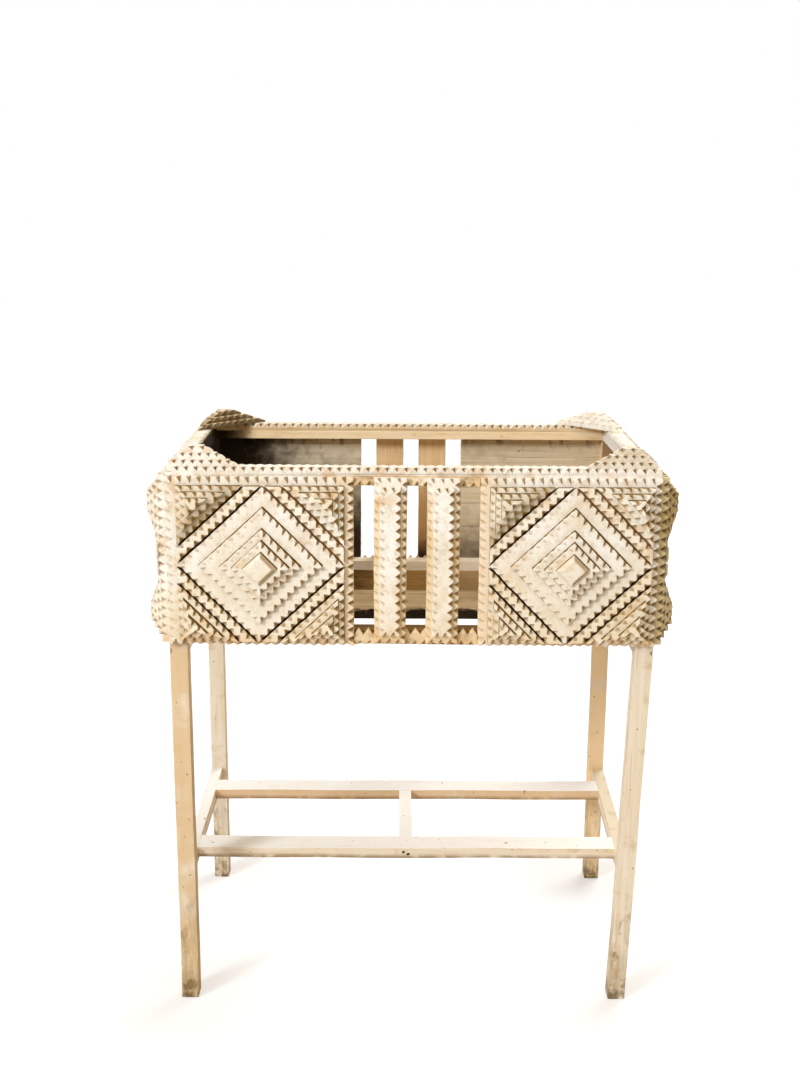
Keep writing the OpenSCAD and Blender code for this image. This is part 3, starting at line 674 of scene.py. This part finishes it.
def round_edges(bm, offset, segments):
    """Rounds every sharp edge."""
    sharp = [e for e in bm.edges if len(e.link_faces) == 2 and e.calc_face_angle(0) > SHARP]
    bmesh.ops.bevel(bm, geom=sharp, offset=offset, offset_type="OFFSET", segments=segments,
                    profile=0.5, affect="EDGES", clamp_overlap=True, material=-1)


def islands(bm):
    """The separate layers of a mesh, as lists of vertices, always in the same order."""
    seen, found = set(), []
    for start in bm.verts:
        if start in seen:
            continue
        seen.add(start)
        grow, layer = [start], []
        while grow:
            v = grow.pop()
            layer.append(v)
            for e in v.link_edges:
                other = e.other_vert(v)
                if other not in seen:
                    seen.add(other)
                    grow.append(other)
        found.append(layer)
    return found


def wobble(bm, outward):
    """Moves each point a little along the face, as a knife wanders."""
    for v in bm.verts:
        step = noise.noise_vector(v.co / (WOBBLE_WAVE_MM * MM)) * WOBBLE_MM
        step += noise.noise_vector(v.co / (DRIFT_WAVE_MM * MM) + DRIFT_SHIFT) * DRIFT_MM
        step -= outward * step.dot(outward)
        v.co += step * MM


def finished(bm, kind, node, materials):
    """Turns a bmesh into a piece that rides on the planter in the place of a node."""
    mesh = bpy.data.meshes.new(kind + node)
    bm.to_mesh(mesh)
    bm.free()
    piece = bpy.data.objects.new(kind + node, mesh)
    scene.collection.objects.link(piece)
    for material in materials:
        mesh.materials.append(material)
    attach(piece, "root")
    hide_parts(node)
    return piece


print("hand-cut copies: edges rounded by", EDGE_ROUND / MM, "mm")

# %% [markdown]
# ## Marks for the paint
# The paint of the carving reads its marks from attributes. Facet, the face of a notch, and wall, an
# upright edge, are told by how squarely a face looks outward. Valley and apex belong to points: a hollow
# edge between two facets is the bottom of a notch, and its outer end is the apex. They are stored before
# the edges are rounded, because rounding spreads them over its new faces. Cut is how far below its
# layer's face a point lies, root how close it is to the glue line under the layer, where a dark foot is
# painted as shade, and nook is 1 in the corners that turn from the window, where dirt and painted shade
# are laid.

# %% Mark the carving
UPRIGHT, FLAT = 0.15, 0.95   # a face that looks outward less is a wall, and more a layer's face
NOTCH_DEPTH = 6.5 * MM
NOOK_WAY = Vector((-0.71, 0.0, 0.71))   # from a board's middle to the corner nearest the window
NOOK_FROM, NOOK_WIDE = 70 * MM, 34 * MM


def mark_facets(bm, outward):
    """Stores facet on the faces of the notches, wall on upright edges, and valley and apex on points."""
    facet, wall = (bm.faces.layers.float.new(key) for key in ("facet", "wall"))
    valley, apex = (bm.verts.layers.float.new(key) for key in ("valley", "apex"))
    bm.normal_update()
    for face in bm.faces:
        slope = abs(face.normal.dot(outward))
        face[facet] = float(UPRIGHT < slope < FLAT)
        face[wall] = float(slope <= UPRIGHT)
    for edge in bm.edges:
        if len(edge.link_faces) == 2 and not edge.is_convex and all(f[facet] for f in edge.link_faces):
            for v in edge.verts:
                v[valley] = 1.0
            max(edge.verts, key=lambda v: v.co.dot(outward))[apex] = 1.0


def mark_depth(bm, outward, root_height):
    """Stores cut and root on each point, from its depth below the face of its own layer."""
    cut, root = (bm.verts.layers.float.new(key) for key in ("cut", "root"))
    for layer in islands(bm):
        bottom, top = span(layer, outward)
        for v in layer:
            height = v.co.dot(outward)
            v[cut] = min(1.0, (top - height) / NOTCH_DEPTH)
            v[root] = max(0.0, 1 - (height - bottom) / root_height) if root_height else 0.0


def mark_nooks(bm, node):
    """Stores nook on the corner stack that turns its steps away from the window: 1 at the joint."""
    nook = bm.verts.layers.float.new("nook")
    middle = box_of(node)[2]
    reach = {v: (v.co - middle).dot(NOOK_WAY) for v in bm.verts}
    layers = [layer for layer in islands(bm) if sum(reach[v] for v in layer) / len(layer) > NOOK_FROM]
    strip, *triangles = sorted(layers, key=lambda layer: min(reach[v] for v in layer))
    joint = max(reach[v] for v in strip)
    for layer in triangles:
        for v in layer:
            v[nook] = min(1.0, max(0.0, 1 - (reach[v] - joint) / NOOK_WIDE))


print("facets look outward by", UPRIGHT, "to", FLAT)

# %% [markdown]
# ## Joints, ledges and worn ends
# The layers are glued on one another. Dirt lies on each layer along the edge of the next, in a wider
# band of painted shadow on the side away from the window. The slanting joints beside the diamonds have
# opened and are painted dark as their shade, lighter as painted light on the upper right, and the sharp
# ends of the triangles have been knocked down. A board's face is bare where the stacks cover it and is
# painted dark as shade, which shows only as the lines of the open joints. Flat faces are split with
# bisect_plane, so that a part of a face can take another material.

# %% Age the layers
BACK, JOINT, DUSTY_LIT_JOINT = 1, 2, 3   # places in a carved piece's list of materials, after its paint
JOINT_GAPE = 0.35 * MM
COVER_INSET = 2 * MM   # the stacks cover the board up to this far inside their box
LEDGE, LEDGE_SHADED = 0.45 * MM, 1.6 * MM   # dirt left on a layer beside the edge of the next one; the wider band is painted shadow
STACKED_ON = 0.7 * MM   # a layer this close above another lies on it
SHADED_SIDE = Vector((0.71, 0.0, 0.71))
HALF_OFF = 50 * MM   # a joint farther off the middle to that side gets the lighter copy, painted light
SHADED, FACING, SQUARE, SAME_WAY = 0.8, 0.9, 0.95, 0.97   # how well two directions agree
TIP_WORN, RIM_DROP, END_DROP = 14 * MM, 5.5 * MM, 4.5 * MM   # how far a sharp end has worn


def axes_across(outward):
    """The two axes that lie in a carved face."""
    return [way for way in AXES if not way.dot(outward)]


def slants(face, outward):
    """True for an upright edge of a layer that runs slantwise, as those beside a diamond do."""
    return abs(face.normal.dot(outward)) <= UPRIGHT and max(abs(c) for c in face.normal) < SQUARE


def joint_kind(place, middle):
    """The material of a joint at a place on a board: the lighter copy, painted light, on the upper
    right side, and the dark one, painted shade, elsewhere.
    """
    return DUSTY_LIT_JOINT if (place - middle).dot(SHADED_SIDE) > HALF_OFF else JOINT


def hide_under_stack(bm, node, outward):
    """Splits a board's face round its stacks and gives the covered part the joint's material, painted
    dark as shade.
    """
    low, high, middle = box_of(node.replace("board", "triangles"))
    across = axes_across(outward)
    for way in across:
        for reach in (low.dot(way) + COVER_INSET, middle.dot(way), high.dot(way) - COVER_INSET):
            split_at(bm, way, reach)
    for face in bm.faces:
        place = face.calc_center_median()
        covered = all(low.dot(way) < place.dot(way) < high.dot(way) for way in across)
        if covered and face.normal.dot(outward) > FACING:
            face.material_index = joint_kind(place, middle)


def dirty_and_shaded_walls(bm, node, outward):
    """Gives the upright edges of stacked layers a dark olive of dirt and painted shade, and those that
    line the open joints bare brown wood with a dark foot of painted shade."""
    low, high, middle = box_of(node.replace("diamond", "board").replace("triangles", "board"))
    board_face = max(abs(low.dot(outward)), abs(high.dot(outward)))
    for face in bm.faces:
        if abs(face.normal.dot(outward)) > UPRIGHT:
            continue
        place = face.calc_center_median()
        lines_joint = slants(face, outward) and place.dot(outward) < board_face + NOTCH_DEPTH
        face.material_index = joint_kind(place, middle) if lines_joint else BACK


def sides_of(layer, outward):
    """The distinct directions of a layer's upright edges, each with how far out that edge lies."""
    walls = [f for f in dict.fromkeys(f for v in layer for f in v.link_faces)
             if abs(f.normal.dot(outward)) < UPRIGHT]
    found = []
    for face in sorted(walls, key=lambda f: -f.calc_area()):
        if all(way.dot(face.normal) < SAME_WAY for way, _ in found):
            found.append((face.normal.copy(), span(face.verts, face.normal)[1]))
    return found


def darken_ledge(bm, lower, limits, outward):
    """Splits a layer's face along the limits, each a direction and a reach, and darkens what is inside."""
    faces = dict.fromkeys(f for v in lower for f in v.link_faces if f.normal.dot(outward) > FLAT)
    for way, reach in limits:
        edges = [e for f in faces for e in f.edges]
        points = [v for f in faces for v in f.verts]
        parts = list(dict.fromkeys(list(faces) + edges + points))
        cut = bmesh.ops.bisect_plane(bm, geom=parts, dist=MERGE, plane_co=way * reach, plane_no=way)
        faces.update(dict.fromkeys(f for f in cut["geom"] if isinstance(f, bmesh.types.BMFace)))
    for face in faces:
        place = face.calc_center_median()
        if all(place.dot(way) < reach for way, reach in limits):
            face.material_index = BACK


def dirty_and_shaded_ledges(bm, outward):
    """Finds each layer that lies on another and darkens a narrow ledge round it, wider as painted
    shadow on the side away from the window.
    """
    layers = islands(bm)
    for upper in layers:
        middle = sum((v.co for v in upper), Vector()) / len(upper)
        limits = [(way, reach + (LEDGE_SHADED if way.dot(SHADED_SIDE) > SHADED else LEDGE))
                  for way, reach in sides_of(upper, outward)]
        for lower in layers:
            gap = span(upper, outward)[0] - span(lower, outward)[1]
            sides = [(way, *span(lower, way)) for way in axes_across(outward)]
            if abs(gap) <= STACKED_ON and all(low < middle.dot(way) < high for way, low, high in sides):
                darken_ledge(bm, lower, limits, outward)


def open_joints(bm, outward):
    """Draws the slanting edges of the lowest layers back a little, so that the joints gape."""
    lowest = span(bm.verts, outward)[0]
    drawn = {}
    for face in bm.faces:
        if slants(face, outward) and span(face.verts, outward)[0] < lowest + MERGE:
            drawn.update({v: face.normal.copy() for v in face.verts})
    for v, away in drawn.items():
        v.co -= away * JOINT_GAPE


def wear_tips(bm, outward, middle, drop):
    """Slopes the sharp ends of triangles. Middle is the place that their square corners look from."""
    one, two = axes_across(outward)
    for layer in islands(bm):
        centre = sum((v.co for v in layer), Vector()) / len(layer)
        top = span(layer, outward)[1]
        ends = [sorted(span(layer, way), reverse=centre.dot(way) >= middle.dot(way)) for way in (one, two)]
        flat = {v: Vector((v.co.dot(one), v.co.dot(two))) for v in layer}
        square_corner = Vector((ends[0][0], ends[1][0]))
        if min((place - square_corner).length for place in flat.values()) > TIP_WORN:
            continue
        for tip in (Vector((ends[0][1], ends[1][0])), Vector((ends[0][0], ends[1][1]))):
            for v, place in flat.items():
                near = 1 - (place - tip).length / TIP_WORN
                if near > 0 and v.co.dot(outward) > top - MERGE:
                    v.co -= outward * near * drop


def bare_back(bm, node, outward):
    """Gives the faces that look into the box the material of the inner side."""
    for face in bm.faces:
        inward = -outward
        if node.startswith("rim"):
            inward = -face.calc_center_median()
            inward.z = 0
        if face.normal.dot(inward.normalized()) > FACING:
            face.material_index = BACK


print("joints gape by", JOINT_GAPE / MM, "mm")

# %% [markdown]
# ## Boards, stacks, slats and rim
# The steps above now run on every carved node, in the order in which the real piece lived: cut, worn,
# opened at the joints, and gone dirty, with shade painted in. The stacks on the ends show no ledges, so
# they are spared that.

# %% Carve one piece
TIP_MERGE = 0.55 * MM   # joins the two corners of the narrow land left at a tooth's tip
ROOT_HEIGHT, END_ROOT = 2.2 * MM, 0.5 * MM   # how high a layer's dark foot of painted shade reaches


def carve(node, paint, back=None):
    """Replaces a carved node by a hand-cut, painted copy."""
    outward = outward_of(node)
    stacked, at_end = node.startswith(("diamond", "triangles")), "_end_" in node
    bm = merged(node)
    bmesh.ops.remove_doubles(bm, verts=bm.verts, dist=TIP_MERGE)
    if node.startswith("board"):
        hide_under_stack(bm, node, outward)
    mark_facets(bm, outward)
    if node.startswith("rim_corner"):
        wear_tips(bm, outward, Vector(), RIM_DROP)
    if node.startswith("triangles_end"):
        wear_tips(bm, outward, box_of(node.replace("triangles", "board"))[2], END_DROP)
    if stacked:
        open_joints(bm, outward)
    if stacked and not at_end:
        dirty_and_shaded_ledges(bm, outward)
    round_edges(bm, EDGE_ROUND, 1)
    root_height = END_ROOT if at_end else ROOT_HEIGHT
    mark_depth(bm, outward, root_height if stacked else 0)
    if node.startswith("triangles") and not at_end:
        mark_nooks(bm, node)
    if back:
        bare_back(bm, node, outward)
    if stacked and not at_end:
        dirty_and_shaded_walls(bm, node, outward)
    wobble(bm, outward)
    materials = [paint, back or layer_wall, joint_wall if stacked else joint_dark, joint_lit]
    return finished(bm, "hand_cut_", node, materials)


print("a layer's dark foot is", ROOT_HEIGHT / MM, "mm high")

# %% Carve the pieces
plain_finish = {"slat": (paints["slat"], slat_back), "bay_strip_top": (paints["stained"], rail_tan),
                "bay_strip_low": (paints["low_strip"], None), "triangles": (paints["corner"], None),
                "overlay": (paints["slat_strip"], None), "diamond": (paints["carved"], None)}


def carved_finish(node):
    """The paint of a carved node and the finish of its inner face, or nothing for plain stock."""
    side = node.rsplit("_", 1)[-1]
    if "_end_" in node:
        return paints[side + "_end"], inside_end if node.startswith("board") else None
    if node.startswith("board"):
        return paints["board"], inside_left if side == "left" else inside_grey
    if node.startswith("rim_corner"):
        return paints.get(node.removeprefix("rim_corner_"), paints["rim"]), None
    if node.startswith("rim"):
        return paints["rim"], rail_pale if side in ("left", "right") else rail_tan
    return next((pair for start, pair in plain_finish.items() if node.startswith(start)), None)


carved = [carve(node, *carved_finish(node)) for node in sorted(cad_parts) if carved_finish(node)]
print("carved pieces:", len(carved), "with", sum(len(p.data.polygons) for p in carved), "faces")

# %% [markdown]
# ## Legs, stretchers, rails and floor boards
# These were sawn and planed by hand. Each copy is rounded at its edges, sliced across every few
# centimetres, and drifts a little from the straight, as hand-planed stock does. The feet stay flat on
# the floor.

# %% Plane one piece
SLICE_MM = 24
PLANE_WAVE_MM, PLANE_SHIFT = 110, Vector((11, 5, 2))
STOCK_EDGE_MM, STOCK_DRIFT_MM = 1.1, 0.8
LONG_DRIFT_MM = 1.3   # the long stretchers have warped most
RAIL_EDGE_MM, RAIL_DRIFT_MM = 0.8, 0.4   # the rails are held straight by the boards
FOOT_FLAT = 3 * MM   # points this close to the floor stay at their height


def plane(node, axis, material, edge_mm=STOCK_EDGE_MM, drift_mm=STOCK_DRIFT_MM):
    """Replaces a plain piece of stock by a hand-planed copy."""
    along = "XYZ".index(axis)
    bm = merged(node)
    round_edges(bm, edge_mm * MM, 2)
    low, high = span(bm.verts, AXES[along])
    steps = max(1, round((high - low) / (SLICE_MM * MM)))
    for i in range(1, steps):
        split_at(bm, AXES[along], low + (high - low) * i / steps)
    for v in bm.verts:
        drift = noise.noise_vector(v.co / (PLANE_WAVE_MM * MM) + PLANE_SHIFT) * drift_mm
        drift[along] = 0
        if v.co.z < FOOT_FLAT:
            drift.z = 0
        v.co += drift * MM
    return finished(bm, "hand_planed_", node, [material])


print("stock is sliced every", SLICE_MM, "mm")

# %% Plane the stock
rail_woods = {"low_rail_rear": rail_lightened, "low_rail_front": low_brown, "top_rail_rear": rail_rear,
              "low_rail_left": rail_plain, "low_rail_right": rail_plain,
              "top_rail_left": rail_pale, "top_rail_right": rail_pale}
floor_woods = {"floor_board_rear": floor_brown, "floor_board_middle": floor_grey}
stand_axis = {"leg": "Z", "side_stretcher": "Y", "cross_stretcher": "Y", "long_stretcher": "X"}

planed = []
for node in sorted(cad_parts):
    axis = next((axis for start, axis in stand_axis.items() if node.startswith(start)), None)
    if axis:
        finish = worn_finish.get(node, stand_finish[axis])
        drift_mm = LONG_DRIFT_MM if node.startswith("long") else STOCK_DRIFT_MM
        planed.append(plane(node, axis, finish, drift_mm=drift_mm))
    elif node in floor_woods:
        planed.append(plane(node, "X", floor_woods[node], RAIL_EDGE_MM))
    elif "_rail_" in node:
        axis = "Y" if node.endswith(("left", "right")) else "X"
        wood = rail_woods.get(node, rail_tan)
        planed.append(plane(node, axis, wood, RAIL_EDGE_MM, RAIL_DRIFT_MM))
print("planed pieces:", len(planed))
